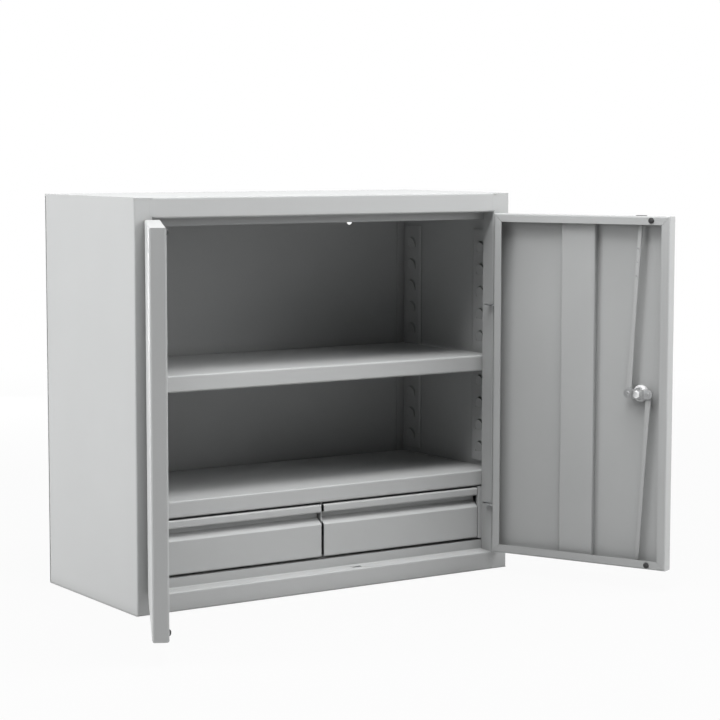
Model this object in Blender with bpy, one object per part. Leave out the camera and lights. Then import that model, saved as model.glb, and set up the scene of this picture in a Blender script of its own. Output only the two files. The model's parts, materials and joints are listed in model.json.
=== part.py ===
"""Workshop wall cabinet: a folded sheet-steel carcass with two hinged doors, two drawers,
two shelves and a rod lock. Metres, +Z up, front towards -Y, origin under the middle of the base.
"""
import math

import bmesh
import bpy
from mathutils import Matrix, Vector

# Sheet and clearances
SHEET = 0.001
BEND_RADIUS = 0.0015
BEND_STEPS = 3
GAP = 0.0003

# Carcass and its front frame
CARCASS_WIDTH = 0.665
CARCASS_DEPTH = 0.290
CARCASS_HEIGHT = 0.600
STILE_WIDTH = 0.030
HEADER_HEIGHT = 0.030
SILL_HEIGHT = 0.029
JAMB_DEPTH = 0.027
HEADER_STOP = 0.012
SILL_STOP = 0.015
REAR_FLANGE = 0.015
FIXING_HOLE_DIAMETER = 0.011
FIXING_HOLE_SPACING = 0.442
FIXING_HOLE_DROP = 0.052

# Punched shelf strips
STRIP_WIDTH = 0.040
STRIP_DEPTH = 0.003
STRIP_FLANK = 0.005
STRIP_FRONT_SETBACK = 0.067
STRIP_REAR_SETBACK = 0.029
STRIP_BOTTOM = 0.165
TONGUE_WIDTH = 0.020
TONGUE_HEIGHT = 0.0165
TONGUE_LEAN = math.radians(13.0)
TONGUE_SLIT = 0.0012
TONGUE_ROOT = 0.0012
LEVEL_FIRST = 0.1957
LEVEL_PITCH = 0.036
LEVEL_COUNT = 10
SHELF_LEVEL = 4

# Shelves
SHELF_LIP = 0.025
SHELF_RETURN = 0.010
SHELF_REAR_LIP = 0.012
SHELF_SETBACK = 0.0015
SHELF_SIDE_CLEARANCE = 0.001
FIXED_SHELF_TOP = 0.1565

# Drawers and what carries them
DECK_LIFT = 0.001
DECK_SETBACK = 0.0055
RAIL_FOOT = 0.013
RAIL_UPSTAND = 0.012
RAIL_CLEARANCE = 0.0005
DRAWER_CENTRE_GAP = 0.005
DRAWER_SIDE_GAP = 0.0085
DRAWER_FRONT_LIFT = 0.0025
DRAWER_FRONT_HEIGHT = 0.081
DRAWER_LIP = 0.0115
GRIP_DEPTH = 0.012
GRIP_THROAT = 0.0085
GRIP_SLOPE = 0.0105
DRAWER_BODY_INSET = 0.010
DRAWER_BODY_HEIGHT = 0.060
DRAWER_BODY_DEPTH = 0.232
DIVIDER_SETBACK = 0.004
DIVIDER_FLANGE = 0.008

# Doors
DOOR_THICKNESS = 0.0225
DOOR_LIP = 0.013
DOOR_HINGE_GAP = 0.003
DOOR_MEETING_GAP = 0.003
DOOR_END_GAP = 0.0015
LEFT_DOOR_OPEN = math.radians(116.85)
RIGHT_DOOR_OPEN = math.radians(114.2)
MITRE_SLIT = 0.0003
MITRE_STOP = 0.003
STIFFENER_WIDTH = 0.0575
STIFFENER_DEPTH = 0.010
STIFFENER_FROM_FREE_EDGE = 0.128
BUFFER_DIAMETER = 0.009
BUFFER_HEAD = 0.0028
BUFFER_STEM_DIAMETER = 0.0036
BUFFER_STEM_LENGTH = 0.004
BUFFER_FROM_FREE_EDGE = 0.030

# Concealed hinges: a hooked arm on the door turns on a pin inside the hollow stile
PIVOT_BEYOND_DOOR = 0.0085
PIVOT_BEHIND_FACE = 0.0045
HINGE_HEIGHTS = {"upper": 0.4235, "lower": 0.105}
PIN_DIAMETER = 0.003
PIN_HEAD_DIAMETER = 0.006
PIN_HEAD = 0.0015
RUNNING_CLEARANCE = 0.0003
ARM_THICKNESS = 0.0015
ARM_EYE_RADIUS = 0.0031
ARM_INNER_RADIUS = 0.0078
ARM_OUTER_RADIUS = 0.0125
ARM_TAB_FRONT = 0.004
ARM_TAB_LENGTH = 0.0055
ARM_WELD_PLATE = 0.024
ARM_SLOT_CLEARANCE = 0.0004
ARM_SLOT_START = -0.002
ARM_SLOT_END = 0.0175
BRACKET_THICKNESS = 0.002
BRACKET_PLAY = 0.0005
BRACKET_REACH = 0.003

# Rod lock on the right door
LOCK_FROM_FREE_EDGE = 0.0515
LOCK_HEIGHT = 0.298
LOCK_BARREL_DIAMETER = 0.018
LOCK_BARREL_LENGTH = 0.009
LOCK_COLLAR_DIAMETER = 0.026
LOCK_COLLAR = 0.0025
LOCK_NUT_DIAMETER = 0.026
LOCK_NUT = 0.0085
LOCK_NUT_CHAMFER = 0.003
LOCK_NUT_SHOULDER = 0.0047
SPINDLE_DIAMETER = 0.011
GRIP_BAR_LENGTH = 0.048
GRIP_BAR_WIDTH = 0.012
GRIP_BAR_HEIGHT = 0.014
CAM_PIN_RADIUS = 0.0165
CAM_THICKNESS = 0.0025
CAM_LOBE_RADIUS = 0.0075
CAM_CRANK = 0.0035
CAM_CENTRE_HALF = 0.0075
CAM_CRANK_RUN = 0.0025
CAM_LOBE_DEPTH = 0.0125
CAM_BOLT_DIAMETER = 0.006
CAM_BOLT_ACROSS = 0.0105
CAM_BOLT_HEAD = 0.0042
CAM_BOLT_GRIP = 0.006
ROD_THICKNESS = 0.003
ROD_PIN_WIDTH = 0.010
ROD_TIP_WIDTH = 0.0066
ROD_TIP_INSET = 0.0006
RIVET_DIAMETER = 0.004
RIVET_HEAD_DIAMETER = 0.0075
RIVET_HEAD = 0.0012
ROD_SLOT_LENGTH = 0.0156
ROD_SLOT_CLEARANCE = 0.0008
FRAME_SLOT_LENGTH = 0.018
FRAME_SLOT_WIDTH = 0.012
FRAME_SLOT_SETBACK = 0.002

# Values that follow from the sizes above
HALF_WIDTH = CARCASS_WIDTH / 2
FRONT = -CARCASS_DEPTH / 2
BACK = CARCASS_DEPTH / 2
TOP = CARCASS_HEIGHT
WALL_INSIDE = HALF_WIDTH - SHEET
OPENING_HALF = HALF_WIDTH - STILE_WIDTH
OPENING_TOP = TOP - HEADER_HEIGHT
FRAME_REAR = FRONT + JAMB_DEPTH
BACK_INSIDE = BACK - SHEET - GAP
FLANGE_INSIDE = BACK_INSIDE - SHEET - GAP
STRIP_FACE = WALL_INSIDE - STRIP_DEPTH
SHELF_FRONT = FRAME_REAR + SHELF_SETBACK
DECK_TOP = SILL_HEIGHT + SILL_STOP + DECK_LIFT
DRAWER_REST = DECK_TOP + SHEET + 2 * GAP
PIVOT_X = OPENING_HALF - DOOR_HINGE_GAP + PIVOT_BEYOND_DOOR
PIVOT_Y = FRONT + PIVOT_BEHIND_FACE
FREE_REACH = PIVOT_X - DOOR_MEETING_GAP / 2
DOOR_BOTTOM = SILL_HEIGHT + DOOR_END_GAP
DOOR_TOP = OPENING_TOP - DOOR_END_GAP
DOOR_OUTER = -PIVOT_BEHIND_FACE
DOOR_INNER = DOOR_OUTER + DOOR_THICKNESS
ARM_TAB_BACK = DOOR_INNER - SHEET - BEND_RADIUS - GAP
LOCK_REACH = FREE_REACH - LOCK_FROM_FREE_EDGE
ROD_BACK = CAM_LOBE_DEPTH - GAP
ROD_MIDDLE = ROD_BACK - ROD_THICKNESS / 2
CLEAR = 0.001
ROUND_STEPS = 16


def clear_scene():
    """Remove every object of the open scene."""
    for item in list(bpy.data.objects):
        bpy.data.objects.remove(item, do_unlink=True)


def make_material(name, colour, roughness, metallic):
    """Return a Principled material of one finish."""
    finish = bpy.data.materials.new(name)
    finish.use_nodes = True
    shader = finish.node_tree.nodes["Principled BSDF"]
    shader.inputs["Base Color"].default_value = (*colour, 1.0)
    shader.inputs["Roughness"].default_value = roughness
    shader.inputs["Metallic"].default_value = metallic
    return finish


def bent_path(points, radius):
    """Round each inner corner of an open path with an arc of the given radius."""
    rounded = [Vector(points[0])]
    for before, corner, after in zip(points, points[1:], points[2:]):
        corner = Vector(corner)
        incoming = (corner - Vector(before)).normalized()
        outgoing = (Vector(after) - corner).normalized()
        turn = incoming.angle_signed(outgoing)
        setback = radius * math.tan(abs(turn) / 2)
        start = corner - incoming * setback
        side = Vector((incoming.y, -incoming.x)) * math.copysign(1.0, turn)
        centre = start + side * radius
        for step in range(BEND_STEPS + 1):
            swing = Matrix.Rotation(-turn * step / BEND_STEPS, 2)
            rounded.append(centre + swing @ (start - centre))
    rounded.append(Vector(points[-1]))
    return rounded


def sheet_outline(points, thickness=SHEET, radius=BEND_RADIUS):
    """Return the closed outline of a bent sheet whose middle line follows the points."""
    path = bent_path(points, radius + thickness / 2)
    left, right = [], []
    for index, point in enumerate(path):
        incoming = (point - path[max(index - 1, 0)]).normalized()
        outgoing = (path[min(index + 1, len(path) - 1)] - point).normalized()
        heading = (incoming + outgoing).normalized()
        normal = Vector((-heading.y, heading.x))
        straight = outgoing if outgoing.length else incoming
        reach = thickness / 2 / max(heading.dot(straight), 0.5)
        left.append(point + normal * reach)
        right.append(point - normal * reach)
    return [tuple(point) for point in left + right[::-1]]


def arc(centre, radius, start, end, steps):
    """Return points on an arc between two angles in degrees."""
    turns = [math.radians(start + (end - start) * step / steps) for step in range(steps + 1)]
    return [(centre[0] + radius * math.cos(turn), centre[1] + radius * math.sin(turn)) for turn in turns]


def prism(outline, axis, start, end):
    """Extrude a closed outline along X, Y or Z. The outline gives the other two axes in order."""
    order = {"X": (2, 0, 1), "Y": (0, 2, 1), "Z": (0, 1, 2)}[axis]

    def place(first, second, along):
        values = (first, second, along)
        return Vector([values[slot] for slot in order])

    shape = bmesh.new()
    base = shape.faces.new([shape.verts.new(place(*point, start)) for point in outline])
    grown = bmesh.ops.extrude_face_region(shape, geom=[base])
    moved = [item for item in grown["geom"] if isinstance(item, bmesh.types.BMVert)]
    bmesh.ops.translate(shape, verts=moved, vec=place(0.0, 0.0, end - start))
    bmesh.ops.recalc_face_normals(shape, faces=shape.faces)
    return shape


def block(low, high):
    """Return a box between two corners given in any order."""
    corners = [sorted(pair) for pair in zip(low, high)]
    shape = bmesh.new()
    bmesh.ops.create_cube(shape, size=1.0)
    size = Vector([pair[1] - pair[0] for pair in corners])
    middle = Vector([(pair[1] + pair[0]) / 2 for pair in corners])
    bmesh.ops.transform(shape, matrix=Matrix.Translation(middle) @ Matrix.Diagonal((*size, 1.0)), verts=shape.verts)
    return shape


def folded_block(low, high, radius):
    """Return a box whose edges across its depth stay square and whose other edges are bent round."""
    shape = block(low, high)
    bends = []
    for edge in shape.edges:
        run = edge.verts[1].co - edge.verts[0].co
        if abs(run.y) < abs(run.x) + abs(run.z):
            bends.append(edge)
    bmesh.ops.bevel(shape, geom=bends, offset=radius, offset_type="OFFSET", segments=2, profile=0.5,
                    affect="EDGES", clamp_overlap=True, material=-1)
    return shape


def cylinder(centre, axis, diameter, start, end, sides=ROUND_STEPS):
    """Return a cylinder, or a prism of few sides, between two stations along an axis."""
    turn = {"X": Matrix.Rotation(math.pi / 2, 4, "Y"), "Y": Matrix.Rotation(-math.pi / 2, 4, "X"),
            "Z": Matrix.Identity(4)}[axis]
    spots = {"X": ((start + end) / 2, *centre), "Y": (centre[0], (start + end) / 2, centre[1]),
             "Z": (*centre, (start + end) / 2)}
    shape = bmesh.new()
    bmesh.ops.create_cone(shape, cap_ends=True, segments=sides, radius1=diameter / 2, radius2=diameter / 2,
                          depth=abs(end - start), matrix=Matrix.Translation(spots[axis]) @ turn)
    return shape


def turned(profile, centre, sides=ROUND_STEPS):
    """Spin a profile of radius and height pairs about an axis along Y through the centre."""
    shape = bmesh.new()
    points = [shape.verts.new((radius, along, 0.0)) for radius, along in profile]
    edges = [shape.edges.new(pair) for pair in zip(points, points[1:])]
    bmesh.ops.spin(shape, geom=points + edges, axis=(0.0, 1.0, 0.0), cent=(0.0, 0.0, 0.0),
                   steps=sides, angle=math.tau, use_merge=True)
    bmesh.ops.remove_doubles(shape, verts=shape.verts, dist=1e-6)
    bmesh.ops.recalc_face_normals(shape, faces=shape.faces)
    bmesh.ops.translate(shape, verts=shape.verts, vec=Vector(centre))
    return shape


def combine(shapes):
    """Put several shapes into one, as separate bodies."""
    whole = bmesh.new()
    for shape in shapes:
        carrier = bpy.data.meshes.new("carrier")
        shape.to_mesh(carrier)
        whole.from_mesh(carrier)
        bpy.data.meshes.remove(carrier)
        shape.free()
    return whole


def add_object(name, shape, finish=None, parent=None, origin=(0.0, 0.0, 0.0)):
    """Make an object of a shape, with its origin at a point of its parent's space."""
    origin = Vector(origin)
    bmesh.ops.translate(shape, verts=shape.verts, vec=-origin)
    mesh = bpy.data.meshes.new(name)
    shape.to_mesh(mesh)
    shape.free()
    item = bpy.data.objects.new(name, mesh)
    bpy.context.scene.collection.objects.link(item)
    item.location = origin
    item.parent = parent
    if finish:
        mesh.materials.append(finish)
        mesh.shade_smooth()
        mesh.set_sharp_from_angle(angle=math.radians(35.0))
    return item


def add_axis(name, location, turn=0.0, parent=None):
    """Make an empty on a joint's axis."""
    axis = bpy.data.objects.new(name, None)
    bpy.context.scene.collection.objects.link(axis)
    axis.location = location
    axis.rotation_euler = (0.0, 0.0, turn)
    axis.parent = parent
    return axis


def shape_with(target, shape, operation="DIFFERENCE"):
    """Cut, join or intersect an object with a helper shape in the same space."""
    helper = add_object(f"{target.name}_{operation.lower()}_{len(target.modifiers)}", shape,
                        parent=target.parent, origin=target.location)
    helper.hide_render = True
    helper.display_type = "WIRE"
    step = target.modifiers.new(operation.title(), "BOOLEAN")
    step.operation = operation
    step.solver = "EXACT"
    step.object = helper


def rod_slot(reach_centre, depth_centre, low, high):
    """Return the cutter of a rod's slot through a door's end."""
    half_length = ROD_SLOT_LENGTH / 2
    half_width = ROD_THICKNESS / 2 + ROD_SLOT_CLEARANCE
    return block((reach_centre - half_length, depth_centre - half_width, low),
                 (reach_centre + half_length, depth_centre + half_width, high))


def build_side_panel(side, name, paint):
    """Build a side wall folded round into its front stile, jamb and rear flange."""
    middle = SHEET / 2
    wall = HALF_WIDTH - middle
    flange = BACK_INSIDE - middle
    path = [(wall - REAR_FLANGE, flange), (wall, flange), (wall, FRONT + middle),
            (OPENING_HALF + middle, FRONT + middle), (OPENING_HALF + middle, FRAME_REAR)]
    outline = [(side * x, y) for x, y in sheet_outline(path)]
    panel = add_object(name, prism(outline, "Z", SHEET + 2 * GAP, TOP - SHEET - 2 * GAP), paint)
    half_slot = ARM_THICKNESS / 2 + ARM_SLOT_CLEARANCE
    slots = [block((side * (OPENING_HALF - CLEAR), PIVOT_Y + ARM_SLOT_START, height - half_slot),
                   (side * (OPENING_HALF + SHEET + BEND_RADIUS), PIVOT_Y + ARM_SLOT_END, height + half_slot))
             for height in HINGE_HEIGHTS.values()]
    shape_with(panel, combine(slots))


def build_end_panel(name, paint, upward, frame_height, stop):
    """Build the top or bottom panel with its folded frame member and door stop."""
    level = TOP if upward else 0.0
    inward = -1.0 if upward else 1.0
    middle = SHEET / 2
    path = [(BACK, level + inward * middle), (FRONT + middle, level + inward * middle),
            (FRONT + middle, level + inward * (frame_height - middle)),
            (FRAME_REAR - middle, level + inward * (frame_height - middle)),
            (FRAME_REAR - middle, level + inward * (frame_height + stop))]
    panel = add_object(name, prism(sheet_outline(path), "X", -HALF_WIDTH, HALF_WIDTH), paint)
    member_end = OPENING_HALF - GAP
    near = level + inward * (SHEET + GAP)
    far = level + inward * (frame_height + stop + CLEAR)
    ends = [block((side * member_end, FRONT - CLEAR, near), (side * (HALF_WIDTH + CLEAR), FRAME_REAR + CLEAR, far))
            for side in (-1, 1)]
    lock_x = DOOR_MEETING_GAP / 2 + LOCK_FROM_FREE_EDGE
    slot_level = level + inward * frame_height
    slot_y = FRONT + ROD_MIDDLE + FRAME_SLOT_SETBACK
    slot = block((lock_x - FRAME_SLOT_LENGTH / 2, slot_y - FRAME_SLOT_WIDTH / 2, slot_level - 2 * SHEET),
                 (lock_x + FRAME_SLOT_LENGTH / 2, slot_y + FRAME_SLOT_WIDTH / 2, slot_level + 2 * SHEET))
    shape_with(panel, combine([*ends, slot]))


def build_back_panel(paint):
    """Build the flat back with its two wall-fixing holes."""
    sheet = block((-HALF_WIDTH, BACK - SHEET, SHEET + GAP), (HALF_WIDTH, BACK, TOP - SHEET - GAP))
    panel = add_object("back_panel", sheet, paint)
    holes = [cylinder((side * FIXING_HOLE_SPACING / 2, TOP - FIXING_HOLE_DROP), "Y", FIXING_HOLE_DIAMETER,
                      BACK - SHEET - CLEAR, BACK + CLEAR) for side in (-1, 1)]
    shape_with(panel, combine(holes))


def tongue_outline(width, height):
    """Return an arched outline that stands on zero height."""
    half = width / 2
    return [(-half, 0.0), (half, 0.0), *arc((0.0, height - half), half, 0.0, 180.0, 8)]


def build_shelf_strip(side, name, middle_y, paint):
    """Build a shallow channel with sloping flanks and lanced tongues that lean inwards to carry a shelf."""
    web = STRIP_FACE + SHEET / 2
    legs = WALL_INSIDE - GAP - SHEET / 2
    low_y, high_y = middle_y - STRIP_WIDTH / 2, middle_y + STRIP_WIDTH / 2
    path = [(legs, low_y - STRIP_FLANK), (web, low_y), (web, high_y), (legs, high_y + STRIP_FLANK)]
    outline = [(side * x, y) for x, y in sheet_outline(path, radius=BEND_RADIUS / 2)]
    strip_top = LEVEL_FIRST + LEVEL_PITCH * (LEVEL_COUNT - 1) + STRIP_WIDTH / 2
    strip = add_object(name, prism(outline, "Z", STRIP_BOTTOM, strip_top), paint)
    rise = TONGUE_HEIGHT * math.cos(TONGUE_LEAN)
    openings, tongues = [], []
    for level in range(LEVEL_COUNT):
        root = LEVEL_FIRST + LEVEL_PITCH * level - rise
        hole = tongue_outline(TONGUE_WIDTH + 2 * TONGUE_SLIT, TONGUE_HEIGHT + TONGUE_SLIT)
        cutter = prism(hole, "X", -2 * SHEET, 2 * SHEET)
        bmesh.ops.translate(cutter, verts=cutter.verts, vec=(side * web, middle_y, root))
        openings.append(cutter)
        tongue = prism(tongue_outline(TONGUE_WIDTH, TONGUE_HEIGHT + TONGUE_ROOT), "X", -SHEET / 2, SHEET / 2)
        bmesh.ops.translate(tongue, verts=tongue.verts, vec=(0.0, 0.0, -TONGUE_ROOT))
        lean = Matrix.Rotation(-side * TONGUE_LEAN, 4, "Y")
        bmesh.ops.transform(tongue, matrix=Matrix.Translation((side * web, middle_y, root)) @ lean,
                            verts=tongue.verts)
        tongues.append(tongue)
    shape_with(strip, combine(openings))
    shape_with(strip, combine(tongues), "UNION")


def build_shelf(name, top, half_width, rear, paint):
    """Build a shelf with a folded front lip and a turned-down rear edge."""
    middle = SHEET / 2
    lip_edge = top - SHELF_LIP + middle
    path = [(SHELF_FRONT + SHELF_RETURN, lip_edge), (SHELF_FRONT + middle, lip_edge), (SHELF_FRONT + middle, top - middle),
            (rear - middle, top - middle), (rear - middle, top - SHELF_REAR_LIP)]
    add_object(name, prism(sheet_outline(path), "X", -half_width, half_width), paint)


def build_drawer_deck(paint):
    """Build the false floor under the drawers, the divider between them and the four slide rails."""
    middle = SHEET / 2
    deck_front = FRAME_REAR + DECK_SETBACK
    deck_rear = FLANGE_INSIDE - CLEAR
    foot = SHEET + GAP
    path = [(deck_front, foot), (deck_front, DECK_TOP - middle), (deck_rear, DECK_TOP - middle), (deck_rear, foot)]
    add_object("drawer_deck", prism(sheet_outline(path), "X", GAP - WALL_INSIDE, WALL_INSIDE - GAP), paint)
    low, high = DECK_TOP + GAP + middle, FIXED_SHELF_TOP - SHEET - GAP - middle
    plate = [(DIVIDER_FLANGE, low), (0.0, low), (0.0, high), (DIVIDER_FLANGE, high)]
    divider_front = FRAME_REAR + DIVIDER_SETBACK
    divider_rear = deck_rear - SHELF_REAR_LIP
    divider = add_object("drawer_divider", prism(sheet_outline(plate), "Y", divider_front, divider_rear), paint)
    notch = block((-2 * SHEET, divider_front - CLEAR, FIXED_SHELF_TOP - SHELF_LIP - GAP),
                  (DIVIDER_FLANGE + CLEAR, SHELF_FRONT + SHELF_RETURN + GAP, FIXED_SHELF_TOP))
    shape_with(divider, notch)
    inner = DRAWER_CENTRE_GAP / 2 + DRAWER_BODY_INSET
    outer = OPENING_HALF - DRAWER_SIDE_GAP - DRAWER_BODY_INSET
    for side, side_name in ((-1, "left"), (1, "right")):
        for place, edge, outward in (("inner", inner, -1), ("outer", outer, 1)):
            upstand = edge + outward * (RAIL_CLEARANCE + middle)
            tread = DECK_TOP + GAP + middle
            angle = [(upstand - outward * RAIL_FOOT, tread), (upstand, tread), (upstand, tread + RAIL_UPSTAND)]
            outline = [(side * x, z) for x, z in sheet_outline(angle, radius=BEND_RADIUS / 3)]
            rail_front = FRAME_REAR + GRIP_DEPTH + 2 * SHEET + 2 * GAP
            add_object(f"drawer_rail_{side_name}_{place}",
                       prism(outline, "Y", rail_front, rail_front + DRAWER_BODY_DEPTH), paint)


def build_drawer(side, side_name, paint):
    """Build a drawer: an open-topped tray behind a front folded round a full-width finger grip."""
    inner = DRAWER_CENTRE_GAP / 2
    outer = OPENING_HALF - DRAWER_SIDE_GAP
    middle = SHEET / 2
    face = FRAME_REAR + middle
    deep = face + GRIP_DEPTH
    bottom = DECK_TOP + DRAWER_FRONT_LIFT + middle
    top = bottom + DRAWER_FRONT_HEIGHT - SHEET
    throat_top = top - DRAWER_LIP
    throat_bottom = throat_top - GRIP_THROAT
    path = [(deep, top), (face, top), (face, throat_top), (deep, throat_top), (deep, throat_bottom),
            (face, throat_bottom - GRIP_SLOPE), (face, bottom), (deep, bottom)]
    origin = (side * (inner + outer) / 2, FRAME_REAR, DRAWER_REST)
    front = prism(sheet_outline(path), "X", side * inner, side * outer)
    add_object(f"drawer_front_{side_name}", front, paint, origin=origin)
    tray_front = deep + middle + GAP
    low_x, high_x = inner + DRAWER_BODY_INSET, outer - DRAWER_BODY_INSET
    high_y = tray_front + DRAWER_BODY_DEPTH
    tray = block((side * low_x, tray_front, DRAWER_REST), (side * high_x, high_y, DRAWER_REST + DRAWER_BODY_HEIGHT))
    body = add_object(f"drawer_tray_{side_name}", tray, paint, origin=origin)
    hollow = block((side * (low_x + SHEET), tray_front + SHEET, DRAWER_REST + SHEET),
                   (side * (high_x - SHEET), high_y - SHEET, DRAWER_REST + DRAWER_BODY_HEIGHT + CLEAR))
    shape_with(body, hollow)


def buffer_places():
    """Return the reach and heights of a door's two buffers on its lips."""
    reach = FREE_REACH - BUFFER_FROM_FREE_EDGE
    return reach, {"top": DOOR_TOP - DOOR_LIP / 2, "bottom": DOOR_BOTTOM + DOOR_LIP / 2}


def mitre_slits(side, near, far):
    """Return the cutters of the fine diagonal slits where a door's four lips meet."""
    half_run = (DOOR_LIP - MITRE_STOP + CLEAR) / 2
    inset = MITRE_STOP + half_run
    half_length = half_run * math.sqrt(2.0)
    slits = []
    for edge, inward in ((near, -side), (far, side)):
        for height, rise in ((DOOR_BOTTOM, 1), (DOOR_TOP, -1)):
            slit = block((-MITRE_SLIT / 2, DOOR_INNER - 2 * SHEET, -half_length),
                         (MITRE_SLIT / 2, DOOR_INNER + CLEAR, half_length))
            turn = Matrix.Rotation(inward * rise * math.pi / 4, 4, "Y")
            spot = Matrix.Translation((edge + inward * inset, 0.0, height + rise * inset))
            bmesh.ops.transform(slit, matrix=spot @ turn, verts=slit.verts)
            slits.append(slit)
    return slits


def build_door(side, side_name, paint, rubber):
    """Build a door pan with its stiffener and buffers, in the space of its hinge axis."""
    turn = RIGHT_DOOR_OPEN if side > 0 else -LEFT_DOOR_OPEN
    axis = add_axis(f"{side_name}_door_axis", (side * PIVOT_X, PIVOT_Y, 0.0), turn)
    near, far = -side * PIVOT_BEYOND_DOOR, -side * FREE_REACH
    step = -side * SHEET
    lip = -side * DOOR_LIP
    shell = folded_block((near, DOOR_OUTER, DOOR_BOTTOM), (far, DOOR_INNER, DOOR_TOP), BEND_RADIUS + SHEET)
    door = add_object(f"door_{side_name}", shell, paint, parent=axis)
    shape_with(door, folded_block((near + step, DOOR_OUTER + SHEET, DOOR_BOTTOM + SHEET),
                                  (far - step, DOOR_INNER - SHEET, DOOR_TOP - SHEET), BEND_RADIUS))
    mouth = block((near + lip, DOOR_INNER - DOOR_THICKNESS / 2, DOOR_BOTTOM + DOOR_LIP),
                  (far - lip, DOOR_INNER + CLEAR, DOOR_TOP - DOOR_LIP))
    half_slot = ARM_THICKNESS / 2 + ARM_SLOT_CLEARANCE
    arm_slots = [block((near - step, ARM_TAB_FRONT - GAP, height - half_slot),
                       (near + 2 * step, ARM_TAB_BACK + GAP, height + half_slot))
                 for height in HINGE_HEIGHTS.values()]
    reach, heights = buffer_places()
    stem_hole = BUFFER_STEM_DIAMETER + 2 * GAP
    stem_holes = [cylinder((-side * reach, height), "Y", stem_hole, DOOR_INNER - 2 * SHEET, DOOR_INNER + CLEAR)
                  for height in heights.values()]
    cutters = [mouth, *arm_slots, *stem_holes]
    if side > 0:
        lock = -LOCK_REACH
        rods = DOOR_OUTER + ROD_MIDDLE
        cutters.append(cylinder((lock, LOCK_HEIGHT), "Y", LOCK_BARREL_DIAMETER + 2 * GAP,
                                DOOR_OUTER - CLEAR, DOOR_OUTER + 2 * SHEET))
        cutters.append(rod_slot(lock, rods, DOOR_TOP - 2 * SHEET, DOOR_TOP + CLEAR))
        cutters.append(rod_slot(lock, rods, DOOR_BOTTOM - CLEAR, DOOR_BOTTOM + 2 * SHEET))
    shape_with(door, combine(cutters))
    shape_with(door, combine(mitre_slits(side, near, far)))

    back = DOOR_OUTER + SHEET + GAP
    crown = back + STIFFENER_DEPTH - SHEET / 2
    first = FREE_REACH - STIFFENER_FROM_FREE_EDGE - SHEET / 2
    last = first - STIFFENER_WIDTH + SHEET
    channel = [(first, back), (first, crown), (last, crown), (last, back)]
    outline = [(-side * x, y) for x, y in sheet_outline(channel)]
    end = SHEET + BEND_RADIUS + GAP
    add_object(f"door_stiffener_{side_name}",
               prism(outline, "Z", DOOR_BOTTOM + end, DOOR_TOP - end), paint, parent=axis)

    head = DOOR_INNER + GAP
    radius, stem = BUFFER_DIAMETER / 2, BUFFER_STEM_DIAMETER / 2
    profile = [(0.0, head + BUFFER_HEAD), (radius * 0.7, head + BUFFER_HEAD), (radius, head + BUFFER_HEAD * 0.6),
               (radius, head), (stem, head), (stem, head - BUFFER_STEM_LENGTH), (0.0, head - BUFFER_STEM_LENGTH)]
    for place, height in heights.items():
        add_object(f"door_buffer_{side_name}_{place}", turned(profile, (-side * reach, 0.0, height)), rubber,
                   parent=axis)
    return axis


def arm_outline():
    """Return the hooked hinge arm in plan about its pin, for a right-hand door."""
    tab_end = -(PIVOT_BEYOND_DOOR + ARM_TAB_LENGTH)
    hook_start = 180.0 - math.degrees(math.asin(ARM_TAB_FRONT / ARM_INNER_RADIUS))
    neck = 72.0
    return [(tab_end, ARM_TAB_FRONT), *arc((0.0, 0.0), ARM_INNER_RADIUS, hook_start, neck, 7),
            *arc((0.0, 0.0), ARM_EYE_RADIUS, neck, 350.0, 14),
            *arc((0.0, 0.0), ARM_OUTER_RADIUS, 35.0, 90.0, 5),
            (-ARM_TAB_FRONT, ARM_TAB_BACK), (tab_end, ARM_TAB_BACK)]


def build_hinge(side, side_name, place, height, axis, steel):
    """Build one concealed hinge: arm on the door, pin and bracket in the stile."""
    outline = [(side * x, y) for x, y in arm_outline()]
    half = ARM_THICKNESS / 2
    arm = add_object(f"hinge_arm_{side_name}_{place}", prism(outline, "Z", height - half, height + half), steel,
                     parent=axis, origin=(0.0, 0.0, height))
    plate_x = -side * (PIVOT_BEYOND_DOOR + SHEET + GAP)
    plate = block((plate_x, ARM_TAB_FRONT / 2, height - ARM_WELD_PLATE / 2),
                  (plate_x - side * SHEET, ARM_TAB_BACK, height + ARM_WELD_PLATE / 2))
    shape_with(arm, plate, "UNION")
    bore = PIN_DIAMETER + 2 * RUNNING_CLEARANCE
    shape_with(arm, cylinder((0.0, 0.0), "Z", bore, height - half - CLEAR, height + half + CLEAR))

    ear = half + BRACKET_PLAY + BRACKET_THICKNESS / 2
    web = WALL_INSIDE - BEND_RADIUS - GAP - BRACKET_THICKNESS / 2
    tip = PIVOT_X - BRACKET_REACH
    path = [(tip, height + ear), (web, height + ear), (web, height - ear), (tip, height - ear)]
    outline = [(side * x, z) for x, z in sheet_outline(path, BRACKET_THICKNESS, BEND_RADIUS / 3)]
    bracket_front = FRONT + SHEET + GAP
    bracket = add_object(f"hinge_bracket_{side_name}_{place}",
                         prism(outline, "Y", bracket_front, PIVOT_Y + BRACKET_REACH), steel)
    reach = ear + BRACKET_THICKNESS
    shape_with(bracket, cylinder((side * PIVOT_X, PIVOT_Y), "Z", bore, height - reach, height + reach))

    seat = height + ear + BRACKET_THICKNESS / 2 + GAP
    shaft = cylinder((side * PIVOT_X, PIVOT_Y), "Z", PIN_DIAMETER, height - reach - CLEAR, seat + PIN_HEAD / 2)
    pin = add_object(f"hinge_pin_{side_name}_{place}", shaft, steel)
    shape_with(pin, cylinder((side * PIVOT_X, PIVOT_Y), "Z", PIN_HEAD_DIAMETER, seat, seat + PIN_HEAD), "UNION")


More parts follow.
